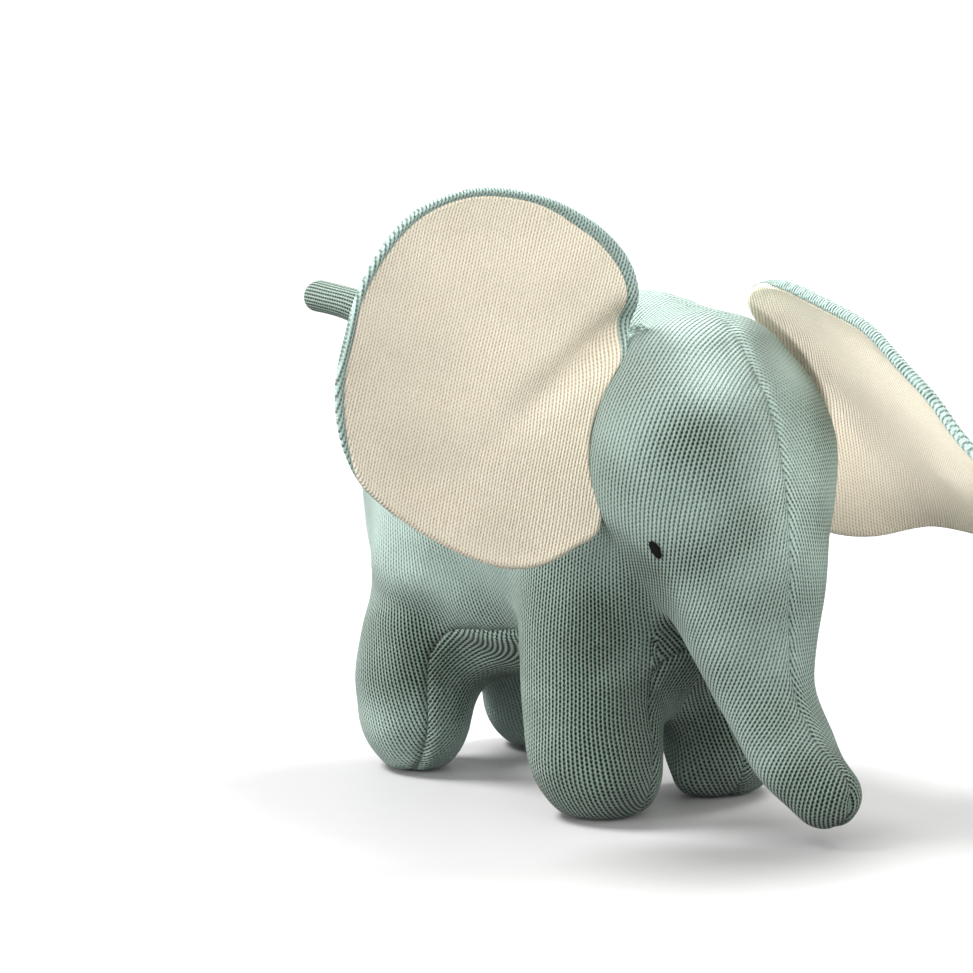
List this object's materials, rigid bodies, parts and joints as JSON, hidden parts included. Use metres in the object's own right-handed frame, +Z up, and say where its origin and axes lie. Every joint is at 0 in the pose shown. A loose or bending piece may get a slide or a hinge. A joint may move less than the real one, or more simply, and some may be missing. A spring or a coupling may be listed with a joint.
{
  "type": "stuffed elephant",
  "caption": "Standing knitted toy elephant, firmly stuffed, with a trunk reaching down to the floor, big two-layer ears, embroidered eyes and a short tail.",
  "frame": {"origin": "centre of the bounding box on the floor under the soles", "axes": "+Z up, -Y the way the trunk points, +X the elephant's left side"},
  "size_m": [0.298, 0.3974, 0.2824],
  "materials": {
    "sage_knit": "matte stocking-stitch cotton knit, sage green",
    "cream_knit": "matte fine stocking-stitch cotton knit, cream",
    "black_thread": "satin-stitched embroidery thread, black",
    "stuffing": "loose polyester fibre fill, white"
  },
  "bodies": {
    "body": {"side_panel_right": "sage_knit", "side_panel_left": "sage_knit", "belly_gusset": "sage_knit", "body_stuffing": "stuffing", "eye_right": "black_thread", "eye_left": "black_thread"},
    "right_ear": {"ear_right_back": "sage_knit", "ear_right_front": "cream_knit"},
    "left_ear": {"ear_left_back": "sage_knit", "ear_left_front": "cream_knit"},
    "tail": {"tail_skin": "sage_knit", "tail_stuffing": "stuffing"}
  },
  "joints": [
    {"name": "right_ear_flap", "type": "hinge", "parent": "body", "child": "right_ear", "pos_m": [-0.03753, -0.08247, 0.131], "axis": [0.2374, 0.0216, 0.9712], "range_deg": [-15, 60], "stiffness_Nm_per_rad": 0.12},
    {"name": "left_ear_flap", "type": "hinge", "parent": "body", "child": "left_ear", "pos_m": [0.08247, -0.08247, 0.131], "axis": [0.2374, -0.0216, -0.9712], "range_deg": [-25, 15], "stiffness_Nm_per_rad": 0.12},
    {"name": "tail_wag", "type": "hinge", "parent": "body", "child": "tail", "pos_m": [0.02247, 0.11653, 0.198], "axis": [0, -0.1683, 0.9857], "range_deg": [-45, 45], "stiffness_Nm_per_rad": 0.02}
  ]
}
